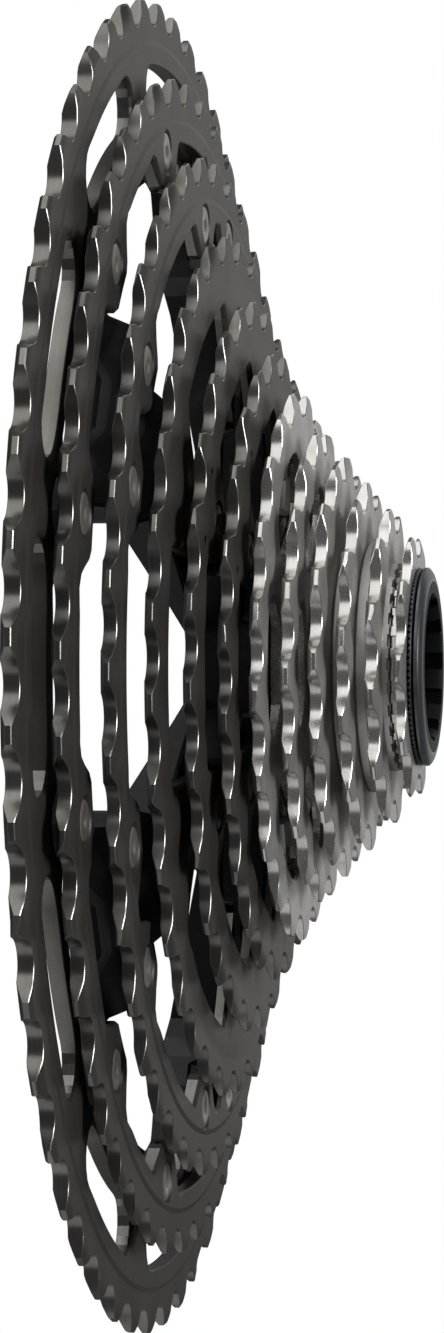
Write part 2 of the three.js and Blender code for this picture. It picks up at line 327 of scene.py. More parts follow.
def copies_tree():
    """Puts a copy of the seed on each point that comes in."""
    tree, start, end = node_tree("Copies on points", [
        ("Seed", "NodeSocketObject"), ("Material", "NodeSocketMaterial")])
    new, link = tree.nodes.new, tree.links.new
    seed = new("GeometryNodeObjectInfo")
    link(start.outputs["Seed"], seed.inputs["Object"])
    copies = new("GeometryNodeInstanceOnPoints")
    link(start.outputs["Geometry"], copies.inputs["Points"])
    link(seed.outputs["Geometry"], copies.inputs["Instance"])
    real = new("GeometryNodeRealizeInstances")
    link(copies.outputs[0], real.inputs[0])
    paint = new("GeometryNodeSetMaterial")
    link(real.outputs[0], paint.inputs["Geometry"])
    link(start.outputs["Material"], paint.inputs["Material"])
    link(paint.outputs[0], end.inputs["Geometry"])
    return tree


def grown(piece, tree, values, smooth_angle=28):
    """Runs a Geometry Nodes tree on the piece and keeps the result as its plain mesh."""
    modifier = piece.modifiers.new(tree.name, "NODES")
    modifier.node_group = tree
    for item in tree.interface.items_tree:
        if item.in_out == "INPUT" and item.name in values:
            modifier[item.identifier] = values[item.name]
    piece.update_tag()
    bpy.context.view_layer.update()
    shape = piece.evaluated_get(bpy.context.evaluated_depsgraph_get())
    mesh = bpy.data.meshes.new_from_object(shape)
    piece.modifiers.clear()
    old, piece.data = piece.data, mesh
    bpy.data.meshes.remove(old)
    mesh.shade_smooth()
    mesh.set_sharp_from_angle(angle=math.radians(smooth_angle))
    return piece


def ride_stack(piece, finish, *nodes):
    """A piece of the stack that stands for these CAD nodes."""
    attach(piece, "stack")
    if nodes:
        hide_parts(*nodes)
    return piece

# ---- Materials -----------------------------------------------------------------------------------

def shader_group(name, inputs, outputs):
    tree = bpy.data.node_groups.new(name, "ShaderNodeTree")
    for label, kind, value in inputs:
        socket = tree.interface.new_socket(label, in_out="INPUT", socket_type=kind)
        socket.default_value = value
    for label, kind in outputs:
        tree.interface.new_socket(label, in_out="OUTPUT", socket_type=kind)
    return tree, tree.nodes.new("NodeGroupInput"), tree.nodes.new("NodeGroupOutput")


def mixed(tree, factor, first, second, blend="MIX"):
    """A colour mix; each input is a socket or a value."""
    node = tree.nodes.new("ShaderNodeMix")
    node.data_type = "RGBA"
    node.blend_type = blend
    sockets = (node.inputs[0], node.inputs[6], node.inputs[7])
    for socket, value in zip(sockets, (factor, first, second)):
        if isinstance(value, bpy.types.NodeSocket):
            tree.links.new(value, socket)
        else:
            socket.default_value = value
    return node.outputs[2]


def fitted(tree, value, low, high, to_low, to_high):
    node = tree.nodes.new("ShaderNodeMapRange")
    for label, number in (("From Min", low), ("From Max", high), ("To Min", to_low), ("To Max", to_high)):
        node.inputs[label].default_value = number
    tree.links.new(value, node.inputs["Value"])
    return node.outputs["Result"]


def noise(tree, vector, scale, detail=3.0, roughness=0.55):
    node = tree.nodes.new("ShaderNodeTexNoise")
    node.inputs["Scale"].default_value = scale
    node.inputs["Detail"].default_value = detail
    node.inputs["Roughness"].default_value = roughness
    tree.links.new(vector, node.inputs["Vector"])
    return node.outputs["Fac"]


def grain_group():
    """Fine tumbled grain and slow stains on a plated sheet."""
    tree, start, end = shader_group("Plated grain", [("Vector", "NodeSocketVector", (0, 0, 0))],
                                    [("Grain", "NodeSocketFloat"), ("Stain", "NodeSocketFloat")])
    vector = start.outputs["Vector"]
    tree.links.new(noise(tree, vector, 2600, 3, 0.65), end.inputs["Grain"])
    tree.links.new(noise(tree, vector, 90, 4, 0.55), end.inputs["Stain"])
    return tree


def turning_group():
    """Fine rings left by turning or grinding round the axis."""
    tree, start, end = shader_group("Turned rings", [
        ("Vector", "NodeSocketVector", (0, 0, 0)), ("Lines", "NodeSocketFloat", 2600.0)],
        [("Rings", "NodeSocketFloat")])
    split = tree.nodes.new("ShaderNodeSeparateXYZ")
    tree.links.new(start.outputs["Vector"], split.inputs[0])
    flat = tree.nodes.new("ShaderNodeCombineXYZ")
    tree.links.new(split.outputs["X"], flat.inputs["X"])
    tree.links.new(split.outputs["Y"], flat.inputs["Y"])
    length = tree.nodes.new("ShaderNodeVectorMath")
    length.operation = "LENGTH"
    tree.links.new(flat.outputs[0], length.inputs[0])
    streak = tree.nodes.new("ShaderNodeTexNoise")
    streak.noise_dimensions = "1D"
    streak.inputs["Detail"].default_value = 4
    spaced = maths(tree, "MULTIPLY", length.outputs["Value"], start.outputs["Lines"])
    tree.links.new(spaced, streak.inputs["W"])
    streak.inputs["Scale"].default_value = 1
    tree.links.new(streak.outputs["Fac"], end.inputs["Rings"])
    return tree


def brushing_group():
    """Fine parallel lines that follow a cut edge, one beside another through the plate's thickness."""
    tree, start, end = shader_group("Brushed cut", [
        ("Vector", "NodeSocketVector", (0, 0, 0)), ("Lines", "NodeSocketFloat", 9000.0)],
        [("Lines", "NodeSocketFloat")])
    split = tree.nodes.new("ShaderNodeSeparateXYZ")
    tree.links.new(start.outputs["Vector"], split.inputs[0])
    joint = tree.nodes.new("ShaderNodeCombineXYZ")
    slow = 0.03
    tree.links.new(maths(tree, "MULTIPLY", split.outputs["X"], slow), joint.inputs["X"])
    tree.links.new(maths(tree, "MULTIPLY", split.outputs["Y"], slow), joint.inputs["Y"])
    tree.links.new(split.outputs["Z"], joint.inputs["Z"])
    lines = tree.nodes.new("ShaderNodeTexNoise")
    lines.inputs["Detail"].default_value = 2
    tree.links.new(joint.outputs[0], lines.inputs["Vector"])
    tree.links.new(start.outputs["Lines"], lines.inputs["Scale"])
    tree.links.new(lines.outputs["Fac"], end.inputs["Lines"])
    return tree


def wear_group():
    """Edges that stand proud, rubbed bright in patches."""
    tree, start, end = shader_group("Edge wear", [
        ("Vector", "NodeSocketVector", (0, 0, 0)), ("Low", "NodeSocketFloat", 0.52),
        ("High", "NodeSocketFloat", 0.6)], [("Wear", "NodeSocketFloat")])
    edge = tree.nodes.new("ShaderNodeNewGeometry").outputs["Pointiness"]
    node = tree.nodes.new("ShaderNodeMapRange")
    tree.links.new(edge, node.inputs["Value"])
    tree.links.new(start.outputs["Low"], node.inputs["From Min"])
    tree.links.new(start.outputs["High"], node.inputs["From Max"])
    patchy = fitted(tree, noise(tree, start.outputs["Vector"], 420, 3), 0.35, 0.6, 0.35, 1)
    tree.links.new(maths(tree, "MULTIPLY", node.outputs["Result"], patchy), end.inputs["Wear"])
    return tree


GROUPS = {
    "grain": grain_group(),
    "rings": turning_group(),
    "brushing": brushing_group(),
    "wear": wear_group(),
}


def placed_group(tree, name, **values):
    node = tree.nodes.new("ShaderNodeGroup")
    node.node_tree = GROUPS[name]
    for label, value in values.items():
        if isinstance(value, bpy.types.NodeSocket):
            tree.links.new(value, node.inputs[label])
        else:
            node.inputs[label].default_value = value
    return node


def metal(name, color, dark, roughness, metallic=1.0, rings=0.0, brushing=0.0, wear=0.0,
          worn=(0.6, 0.58, 0.55), specular=0.5):
    """A metal finish: a base colour with a darker stain, and the marks that working it has left."""
    material = bpy.data.materials.new(name)
    material.use_nodes = True
    tree = material.node_tree
    shader = tree.nodes["Principled BSDF"]
    shader.inputs["Metallic"].default_value = metallic
    shader.inputs["Specular IOR Level"].default_value = specular
    place = tree.nodes.new("ShaderNodeTexCoord").outputs["Object"]
    grain = placed_group(tree, "grain", Vector=place)
    stain = fitted(tree, grain.outputs["Stain"], 0.35, 0.65, 0, 1)
    tint = mixed(tree, stain, (*dark, 1), (*color, 1))
    tint = mixed(tree, fitted(tree, grain.outputs["Grain"], 0.3, 0.7, 0, 0.16), tint, (*dark, 1))
    rough = fitted(tree, grain.outputs["Grain"], 0.3, 0.7, roughness * 0.92, roughness * 1.08)
    height = grain.outputs["Grain"]
    depth = 0.0000007
    if rings:
        turned = placed_group(tree, "rings", Vector=place, Lines=2600.0).outputs[0]
        tint = mixed(tree, fitted(tree, turned, 0.3, 0.7, 0, rings), tint, (*dark, 1))
        height = turned
        depth = 0.000002 * rings
    if brushing:
        lines = placed_group(tree, "brushing", Vector=place, Lines=4200.0).outputs[0]
        tint = mixed(tree, fitted(tree, lines, 0.3, 0.7, 0, brushing), tint, (*dark, 1))
        height = lines
        depth = 0.0000012 * brushing
    if wear:
        rubbed = placed_group(tree, "wear", Vector=place).outputs[0]
        tint = mixed(tree, maths(tree, "MULTIPLY", rubbed, wear), tint, (*worn, 1))
    bump = tree.nodes.new("ShaderNodeBump")
    bump.inputs["Distance"].default_value = depth
    bump.inputs["Strength"].default_value = 1
    tree.links.new(height, bump.inputs["Height"])
    tree.links.new(bump.outputs[0], shader.inputs["Normal"])
    tree.links.new(tint, shader.inputs["Base Color"])
    tree.links.new(rough, shader.inputs["Roughness"])
    return material


DARK_FACE = metal("dark_plated_face", (0.072, 0.066, 0.061), (0.05, 0.042, 0.036), 0.42, 0.35, rings=0.4)
DARK_FLANK = metal("dark_cut_flank", (0.3, 0.288, 0.265), (0.2, 0.19, 0.172), 0.3, 1.0, brushing=0.6)
# Lighter than the dark flanks: a painted highlight along the broken edges of the teeth
DARK_EDGE_HIGHLIGHT = metal("dark_edge_painted_highlight", (0.5, 0.48, 0.45), (0.3, 0.29, 0.27), 0.3)
BRIGHT_FACE = metal("bright_plated_face", (0.72, 0.7, 0.67), (0.5, 0.48, 0.45), 0.38, 0.72, rings=0.4)
BRIGHT_FLANK = metal("bright_cut_flank", (0.86, 0.84, 0.81), (0.64, 0.62, 0.59), 0.27, 1.0, brushing=0.5)
# Lighter than the bright flanks: a painted highlight along the broken edges of the teeth
BRIGHT_EDGE_HIGHLIGHT = metal("bright_edge_painted_highlight", (0.9, 0.89, 0.87), (0.65, 0.63, 0.6), 0.25)
BLACK_ALLOY = metal("black_anodised", (0.016, 0.016, 0.018), (0.007, 0.007, 0.008), 0.38, 0.0, wear=0.08,
                    specular=0.5)
# Lighter grey for the carriers' chamfers: a painted sheen of the lamps on the black anodising
BLACK_FACET_SHEEN = metal("black_facet_painted_sheen", (0.11, 0.11, 0.115), (0.06, 0.06, 0.064), 0.34, 0.8)
RIVET_STEEL = metal("rivet_steel", (0.5, 0.465, 0.43), (0.3, 0.275, 0.25), 0.34, 0.75, wear=0.5)
WASHER_STEEL = metal("burnished_washer", (0.12, 0.125, 0.14), (0.07, 0.073, 0.08), 0.34, 0.6, rings=0.4)
LOCKRING_ALLOY = metal("lockring_anodised", (0.12, 0.127, 0.145), (0.07, 0.073, 0.082), 0.34, 0.55,
                       rings=0.5, wear=0.5, worn=(0.4, 0.4, 0.42))
# A lighter band round the front rim of the lockring: painted highlight
LOCKRING_RIM_HIGHLIGHT = metal("lockring_rim_painted_highlight", (0.24, 0.25, 0.26), (0.14, 0.14, 0.15), 0.3, 0.9, rings=0.3)
# Near black for the lockring's front face and bore: painted shade in the deep bore, far darker than the
# ring's own anodising
LOCKRING_BORE_SHADE = metal("lockring_bore_painted_shade", (0.008, 0.008, 0.009), (0.004, 0.004, 0.005), 0.5, 0.0, specular=0.25)


# ---- Teeth ---------------------------------------------------------------------------------------

def pitch_radius(teeth):
    return CHAIN_PITCH / (2 * math.sin(math.pi / teeth))


def root_radius(teeth):
    return pitch_radius(teeth) - ROLLER_RADIUS


def tip_radius(teeth):
    return pitch_radius(teeth) + TIP_RISE


def flank_line(teeth, inset):
    """Half of a tooth, from the bottom of the roller seat to the end of the land, moved in by inset."""
    pitch, half = pitch_radius(teeth), math.pi / teeth
    outward = np.array([math.cos(half), math.sin(half)])
    sideways = np.array([-math.sin(half), math.cos(half)])
    seat = pitch * outward
    points = []
    for swing in range(0, 57, 8):
        angle = math.radians(swing)
        direction = -math.cos(angle) * outward - math.sin(angle) * sideways
        points.append(seat + (ROLLER_RADIUS + inset) * direction)
    heading = math.sin(angle) * outward - math.cos(angle) * sideways
    tip = tip_radius(teeth)
    land = polar(tip, math.degrees(TIP_HALF_LENGTH / tip))
    start = seat + ROLLER_RADIUS * direction
    control = start + 1.5 * heading
    for share in (0.3, 0.55, 0.78, 1):
        point = (1 - share) ** 2 * start + 2 * share * (1 - share) * control + share ** 2 * land
        along = (1 - share) * (control - start) + share * (land - control)
        along /= np.linalg.norm(along)
        normal = np.array([along[1], -along[0]])
        normal *= np.sign(normal @ sideways)
        if share == 1:
            point = point - inset * np.array([1.0, 0.0])
        points.append(point - inset * normal)
    return points


def tooth_heights(points, teeth, half, kind):
    """Front and back height of a tooth's faces over points of its plan."""
    depth = tip_radius(teeth) - np.linalg.norm(points, axis=1)
    across = points[:, 1]
    thickness = 2 * half
    low = np.clip(1 - depth / SHIFT_CUT_DEPTH, 0, 1)
    if kind == "centred":
        front = half - 0.36 * thickness * np.clip(1 - depth / 2.4, 0, 1) ** 1.5
        back = half - 0.38 * thickness * np.clip(1 - depth / 1.8, 0, 1)
    else:
        front = half - FRONT_SHARE * thickness * np.clip(1 - depth / FRONT_BEVEL, 0, 1)
        back = half - BACK_SHARE * thickness * np.clip(1 - depth / BACK_BEVEL, 0, 1)
    if kind == "skewed":
        front -= 0.9 * half * low * np.clip((across + 0.4) / 3.0, 0, 1)
        back += 0.35 * half * low * np.clip((across + 0.4) / 3.0, 0, 1)
    if kind == "relieved":
        back -= 0.35 * half * low * np.clip((0.4 - across) / 2.6, 0, 1)
        front -= 0.3 * half * low * np.clip((0.4 - across) / 2.6, 0, 1)
    return np.minimum(front, half), -np.minimum(back, half)


def tooth_sector(teeth, thickness, kind):
    """One tooth with its half of the gap on either side, down to the circle where the web starts."""
    half, spread = thickness / 2, math.degrees(math.pi / teeth)
    outline, inner = flank_line(teeth, 0), flank_line(teeth, EDGE_BREAK)
    rim = root_radius(teeth) - RIM_DEPTH
    rows = [(rim, spread)]
    rows += [(np.linalg.norm(p), math.degrees(math.atan2(p[1], p[0]))) for p in inner]
    plan = np.array([polar(radius, angle * c) for radius, angle in rows for c in TOOTH_COLUMNS])
    front, back = tooth_heights(plan, teeth, half, kind)
    width, count = len(TOOTH_COLUMNS), len(plan)
    points = [*np.column_stack([plan, front]), *np.column_stack([plan, back])]
    faces, finish = [], []
    for row in range(len(rows) - 1):
        for column in range(width - 1):
            a = row * width + column
            quad = (a, a + width, a + width + 1, a + 1)
            faces.extend([quad, tuple(v + count for v in reversed(quad))])
            finish.extend([0, 0])
    half_land = math.degrees(TIP_HALF_LENGTH / tip_radius(teeth))
    top = polar(tip_radius(teeth), half_land * np.array(TOOTH_COLUMNS))
    loop = [(point * (1, -1), (row + 1) * width) for row, point in enumerate(outline[:-1])]
    loop += [(point, (len(rows) - 1) * width + column) for column, point in enumerate(top)]
    loop += [(point, (row + 2) * width - 1) for row, point in reversed(list(enumerate(outline[:-1])))]
    edge = np.array([point for point, _ in loop])
    edge_front, edge_back = tooth_heights(edge, teeth, half, kind)
    first = len(points)
    points += [*np.column_stack([edge, edge_front - EDGE_BREAK])]
    points += [*np.column_stack([edge, edge_back + EDGE_BREAK])]
    for i in range(len(loop) - 1):
        a, b = loop[i][1], loop[i + 1][1]
        c, d = first + i + 1, first + i
        faces.append((a, d, c, b))
        faces.append((d, d + len(loop), c + len(loop), c))
        faces.append((d + len(loop), a + count, b + count, c + len(loop)))
        finish.extend([2, 1, 2])
    return np.array(points), faces, finish


# ---- Webs ----------------------------------------------------------------------------------------

SEAT_STEPS = 28
STEP_BELOW_TIP = 6.2
STEP_SLOPE = 0.8
OUTER_RIVETS = {"radius": 80.6, "spread": 15}
SECOND_RIVETS = {"radius": 68.7, "spread": 8.5}
THIRD_RIVETS = {"radius": 41.8, "spread": 0}
FOURTH_RIVETS = {"radius": 33.7, "spread": 0}


def step_rise(teeth):
    """How far the front of a web stands above the front of its teeth."""
    return 0.0 if teeth <= 21 else 0.1 if teeth < 39 else 0.2


def rivet_spots(circle):
    return [polar(circle["radius"], angle) for angle in arm_angles(circle["spread"])]


def scalloped(open_radius, pad_radius, angles, half_width, sweep=6.5, steps=300):
    """A wavy inner edge that comes in to a pad at each angle, and how wide its front edge is rounded."""
    turn = np.arange(steps) * 360 / steps
    radius = np.full(steps, float(open_radius))
    width = np.full(steps, 0.22)
    for angle in angles:
        along = np.radians(angle_gap(turn, angle)) * open_radius
        radius = np.minimum(radius, open_radius - (open_radius - pad_radius) * smooth(
            (half_width + sweep - np.abs(along)) / sweep))
        width = np.maximum(width, 1.1 * np.exp(-((along - half_width - 0.75 * sweep) / 4.2) ** 2))
        width = np.maximum(width, 0.7 * np.exp(-((along + half_width + 0.75 * sweep) / 3.4) ** 2))
    return polar(radius, turn), width


def kidney(inner, outer, centre, half_angle, steps=12):
    """A curved slot with round ends, and how wide its front edge is rounded."""
    middle, end = (inner + outer) / 2, (outer - inner) / 2
    reach = half_angle - math.degrees(end / middle)
    sweep = np.linspace(-reach, reach, steps)
    turn = np.linspace(0, 180, 10)[1:-1]
    far = polar(end, centre + reach + turn) + polar(middle, centre + reach)
    near = polar(end, centre - reach + 180 + turn) + polar(middle, centre - reach)
    loop = np.concatenate([polar(np.full(steps, outer), centre + sweep), far,
                           polar(np.full(steps, inner), centre + sweep[::-1]), near])
    side = angle_gap(np.degrees(np.arctan2(loop[:, 1], loop[:, 0])), centre) / half_angle
    return loop, 0.2 + 0.75 * np.clip(np.abs(side) - 0.55, 0, 1) * 2


def splined_bore(radius, steps_each=8):
    turn = np.arange(SPLINES * steps_each) * 360 / (SPLINES * steps_each)
    groove = (np.arange(SPLINES * steps_each) % steps_each) < steps_each / 2
    return polar(radius + SPLINE_DEPTH * groove, turn), np.full(len(turn), 0.15)


def round_hole(spot, radius, rounded=0.2, steps=SEAT_STEPS):
    return ring(radius, steps, centre=spot), np.full(steps, rounded)


def pads_of(teeth):
    """Inner edge and holes of each sprocket's web."""
    root = root_radius(teeth)
    if teeth == 51:
        slots = [kidney(84.5, 93.4, ARM_PHASE + 30 * i, 11.3) for i in range(12)]
        return [scalloped(81, 75.9, arm_angles(15), 4.6), *slots], OUTER_RIVETS, False
    if teeth == 45:
        return [scalloped(root - 5.7, 75.6, arm_angles(15), 4.4)], OUTER_RIVETS, True
    if teeth == 39:
        return [scalloped(root - 5.8, 63.8, arm_angles(8.5), 4.4, sweep=5)], SECOND_RIVETS, True
    if teeth == 33:
        return [scalloped(root - 6.3, 37.2, arm_angles(), 4.6, sweep=9)], THIRD_RIVETS, False
    if teeth == 28:
        holes = [round_hole(polar(50.0, angle), 0.7, 0.12, 12) for angle in (237, 250, 57, 70, 147, 160)]
        return [scalloped(root - 5.5, 37.4, arm_angles(), 4.2), *holes], THIRD_RIVETS, True
    if teeth == 24:
        holes = [round_hole(polar(42.3, angle), 0.65, 0.12, 12) for angle in (223, 252, 43, 72, 133)]
        return [scalloped(root - 4.9, 29.4, arm_angles(), 4.2, sweep=5), *holes], FOURTH_RIVETS, True
    if teeth in (21, 18):
        windows = [kidney(HUB_RADIUS - 2, root - 4.2, ARM_PHASE + 30 + 60 * i, 22) for i in range(ARMS)]
        return [splined_bore(BORE_RADIUS), *windows], None, False
    if teeth in (16, 14):
        return [splined_bore(BORE_RADIUS)], None, False
    return [(ring(SMALL_BORE_RADIUS, 96), np.full(96, 0.15))], None, False


def boss_notches(grow=0.0):
    """Small notches round the end of a boss, as closed lines."""
    loops = []
    for angle in np.arange(BOSS_NOTCHES) * 360 / BOSS_NOTCHES:
        half = 3.4 + math.degrees(grow / BOSS_RADIUS)
        low, high = BOSS_RADIUS - 1.5 - grow, BOSS_RADIUS + 0.02 + grow
        loops.append(polar(np.array([low, high, high, low]), angle + half * np.array([-1, -1, 1, 1])))
    return loops


def boss_lines(teeth):
    if teeth not in (12, 10):
        return []
    return [ring(BOSS_RADIUS, 120), ring(BOSS_RADIUS - 0.08, 120), *boss_notches(), *boss_notches(0.06)]


def boss_rise(points):
    """Height that a small sprocket's boss adds on its front (12 teeth) or its back (10 teeth)."""
    radius = np.linalg.norm(points, axis=1)
    height = BOSS_HEIGHT * np.clip((BOSS_RADIUS - radius) / 0.08, 0, 1)
    turn = np.abs(angle_gap(np.degrees(np.arctan2(points[:, 1], points[:, 0])) * BOSS_NOTCHES, 0))
    notched = (turn < 3.45 * BOSS_NOTCHES) & (radius > BOSS_RADIUS - 1.52)
    return np.where(notched, np.minimum(height, BOSS_HEIGHT - NOTCH_DEPTH), height)


def web_mesh(teeth, thickness):
    half, rim = thickness / 2, root_radius(teeth) - RIM_DEPTH
    spread = 180 / teeth
    turn = FIRST_TOOTH[teeth] + np.arange(teeth * 4) * spread / 2
    outer = polar(np.full(len(turn), rim), turn)
    holes, rivets, seated = pads_of(teeth)
    if rivets:
        holes = holes + [round_hole(spot, RIVET_HOLE_RADIUS, 0.1) for spot in rivet_spots(rivets)]
    lines = [outer]
    for loop, width in holes:
        lines += [loop, offset_loop(loop, 0.45 * width), offset_loop(loop, width)]
    step = tip_radius(teeth) - STEP_BELOW_TIP
    if teeth > 21:
        lines += [ring(step, 240), ring(step - STEP_SLOPE, 240)]
    seats = rivet_spots(rivets) if seated else []
    for spot in seats:
        lines += [ring(RIVET_SEAT_RADIUS, SEAT_STEPS, centre=spot),
                  ring(RIVET_SEAT_RADIUS - 0.6, SEAT_STEPS, centre=spot)]
    lines += boss_lines(teeth)

    def is_metal(points):
        keep = inside_loop(points, outer)
        for loop, _ in holes:
            keep &= ~inside_loop(points, loop)
        return keep

    def rounding(points):
        drop = np.zeros(len(points))
        for loop, width in holes:
            near = np.linalg.norm(points[:, None] - loop[None], axis=2)
            reach = width[near.argmin(axis=1)]
            gap = np.zeros(len(points)) + 9.0
            close = near.min(axis=1) < 4
            if close.any():
                gap[close] = distance_to_loop(points[close], loop)
            drop = np.maximum(drop, 0.6 * reach * np.clip(1 - gap / reach, 0, 1) ** 1.5)
        return drop

    def front(points):
        radius = np.linalg.norm(points, axis=1)
        height = np.full(len(points), half)
        height += step_rise(teeth) * np.clip((step - radius) / STEP_SLOPE, 0, 1)
        for spot in seats:
            away = np.linalg.norm(points - spot, axis=1)
            height -= RIVET_SEAT_DEPTH * np.clip((RIVET_SEAT_RADIUS - away) / 0.6, 0, 1)
        if teeth == 12:
            height += boss_rise(points)
        return height - rounding(points)

    def back(points):
        height = np.full(len(points), -half)
        if teeth == 10:
            height -= boss_rise(points)
        return height

    points, faces, finish = plate_mesh(lines, is_metal, front, back, open_radius=rim)
    return points, faces, [0 if kind == 2 else kind for kind in finish]


# ---- Sprockets -----------------------------------------------------------------------------------

def finish_layer(piece, finish):
    layer = piece.data.attributes.new("finish", "INT", "FACE")
    layer.data.foreach_set("value", np.asarray(finish, np.int32))


def plain_object(name, points, faces, finish):
    mesh = bpy.data.meshes.new(name)
    mesh.from_pydata([tuple(point) for point in np.asarray(points) * MM], [], faces)
    piece = bpy.data.objects.new(name, mesh)
    finish_layer(piece, finish)
    return piece


def make_sprocket(teeth, tree):
    node = f"sprocket_{teeth}t"
    low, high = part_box(node)
    thickness = {12: 1.8, 10: 1.5}.get(teeth, (high.z - low.z) / MM)
    middle = low.z / MM + thickness / 2 if teeth != 10 else high.z / MM - thickness / 2
    kinds = bpy.data.collections.new(f"teeth of {teeth}")
    for order, kind in enumerate(("plain", "skewed", "relieved", "centred")):
        kinds.objects.link(plain_object(f"{order}_{kind}_{teeth}", *tooth_sector(teeth, thickness, kind)))
    piece = plain_object(f"toothed_{node}", *web_mesh(teeth, thickness))
    bpy.context.scene.collection.objects.link(piece)
    bright = teeth <= 21
    grown(piece, tree, {
        "Teeth": teeth, "First tooth": math.radians(FIRST_TOOTH[teeth]), "Shift period": SHIFT_PERIOD[teeth],
        "Tooth kinds": kinds, "Face steel": BRIGHT_FACE if bright else DARK_FACE,
        "Flank steel": BRIGHT_FLANK if bright else DARK_FLANK,
        "Edge highlight steel": BRIGHT_EDGE_HIGHLIGHT if bright else DARK_EDGE_HIGHLIGHT}, 11)
    for seed in list(kinds.objects):
        bpy.data.objects.remove(seed)
    bpy.data.collections.remove(kinds)
    for vertex in piece.data.vertices:
        vertex.co.z += middle * MM
    ride_stack(piece, "bright_steel" if bright else "dark_steel", node)
    return piece


ring_tree = toothed_ring_tree()
for teeth in FIRST_TOOTH:
    make_sprocket(teeth, ring_tree)


# ---- Carriers ------------------------------------------------------------------------------------

# Half outlines as (along the arm, across it), from the hub out to the arm's centre line
OUTER_ARM = [(22.6, 8), (31, 7.5), (40, 7.2), (54.6, 6.6), (57.4, 7.9), (60, 11.2), (64.2, 13.4), (69, 14.7),
             (72.2, 16), (73.1, 19.5), (73.7, 23.1), (75.3, 25.2), (77.9, 25.9), (80.8, 25.2), (82.7, 23.4),
             (83.3, 20.9), (82.7, 18.2), (81, 16.4), (78.6, 15.2), (76.4, 12.6), (74.8, 9.4), (73.6, 4)]
INNER_ARM = [(23.2, 6), (30, 5.8), (35.8, 5.6), (42, 5.4), (44.6, 4.6), (45.8, 2.4)]
# Heights along an arm, as (radius, height)
OUTER_TOP = [(59.9, 11.6), (62.2, 8.05), (72.3, 8.05), (74.4, 4.05)]
OUTER_BACK = [(24.2, 9.75), (60, 2.75), (61, 2.6)]
INNER_TOP = [(24.0, 22.1), (25.2, 18.6), (36.6, 18.6), (37.1, 15.1)]
INNER_BACK = [(36.6, 11.79), (37.0, 13.6)]
CHAMFER = 0.55


def carrier_outline(arm):
    """The closed outline of six arms on a hub."""
    first = math.degrees(math.atan2(arm[0][1], arm[0][0]))
    loop = []
    for angle in arm_angles():
        side = [(along, -across) for along, across in arm] + arm[::-1]
        loop += [(math.hypot(*spot), angle + math.degrees(math.atan2(spot[1], spot[0]))) for spot in side]
        loop += [(HUB_RADIUS, angle + turn) for turn in np.linspace(first, 60 - first, 9)[1:-1]]
    return polar(np.array([radius for radius, _ in loop]), np.array([turn for _, turn in loop]))


def carrier_mesh(arm, top, back_line, circles, bore_back):
    """Plate with stepped and sloping heights, chamfered along its outline."""
    outline = carrier_outline(arm)
    bore, _ = splined_bore(BORE_RADIUS)
    spots = [spot for circle in circles for spot in rivet_spots(circle)]
    holes = [bore] + [ring(RIVET_HOLE_RADIUS, 16, centre=spot) for spot in spots]
    lines = [outline, offset_loop(outline, -CHAMFER), *holes]
    lines += [ring(radius, 180) for radius, _ in top + back_line]
    lines += [ring(radius, 96) for radius in (21.0, 21.25, 27, 34, 42, 50, 66, 69)]

    def is_metal(points):
        keep = inside_loop(points, outline)
        for hole in holes:
            keep &= ~inside_loop(points, hole)
        return keep

    def chamfer(points):
        return CHAMFER * np.clip(1 - distance_to_loop(points, outline) / CHAMFER, 0, 1)

    def front(points):
        radius = np.linalg.norm(points, axis=1)
        height = np.interp(radius, [spot for spot, _ in top], [level for _, level in top])
        return height - 0.7 * chamfer(points)

    def back(points):
        radius = np.linalg.norm(points, axis=1)
        height = np.interp(radius, [spot for spot, _ in back_line], [level for _, level in back_line])
        if bore_back:
            height = np.where(radius < 21.1, bore_back, height)
        return height + 0.4 * chamfer(points)

    return plate_mesh(lines, is_metal, front, back, edge_break=0.0)


def make_carrier(node, *shape):
    points, faces, finish = carrier_mesh(*shape)
    inside = distance_to_loop(points[:, :2], carrier_outline(shape[0]))
    # Chamfer faces take the lighter grey: painted sheen
    sheen_facets = [int(kind != 1 and inside[list(face)].min() < CHAMFER / 2) for face, kind in zip(faces, finish)]
    piece = new_piece(f"machined_{node}", points, faces, [BLACK_ALLOY, BLACK_FACET_SHEEN], sheen_facets, 12)
    return ride_stack(piece, "black_alloy", node)


make_carrier("outer_carrier", OUTER_ARM, OUTER_TOP, OUTER_BACK, (OUTER_RIVETS, SECOND_RIVETS), 9.72)
make_carrier("inner_carrier", INNER_ARM, INNER_TOP, INNER_BACK, (THIRD_RIVETS, FOURTH_RIVETS), 0)


# ---- Rivets --------------------------------------------------------------------------------------

# Head of a rivet below the face of its sprocket, as (radius, height) from the middle of the dimple out
RIVET_HEAD = [
    (0.35, -0.42), (0.75, -0.36), (1.0, -0.2), (1.25, -0.11), (2.2, -0.06),
    (2.7, -0.1), (2.92, -0.24), (2.95, -0.5), (2.1, -0.56),
]


def rivet_seed(length):
    """One rivet with its face on z = 0: a dimpled head, a shank and an upset tail."""
    profile = RIVET_HEAD + [(2.1, 0.3 - length), (1.9, -length), (0.9, -length), (0.6, 0.25 - length)]
    steps = 20
    points = np.concatenate([np.column_stack([ring(radius, steps), np.full(steps, height)])
                             for radius, height in profile])
    faces = [tuple(range(steps)), tuple(reversed(range(len(points) - steps, len(points))))]
    for row in range(len(profile) - 1):
        for j in range(steps):
            a, b = row * steps + j, row * steps + (j + 1) % steps
            faces.append((a, a + steps, b + steps, b))
    mesh = bpy.data.meshes.new("rivet")
    mesh.from_pydata([tuple(point) for point in points * MM], [], faces)
    return bpy.data.objects.new("rivet", mesh)


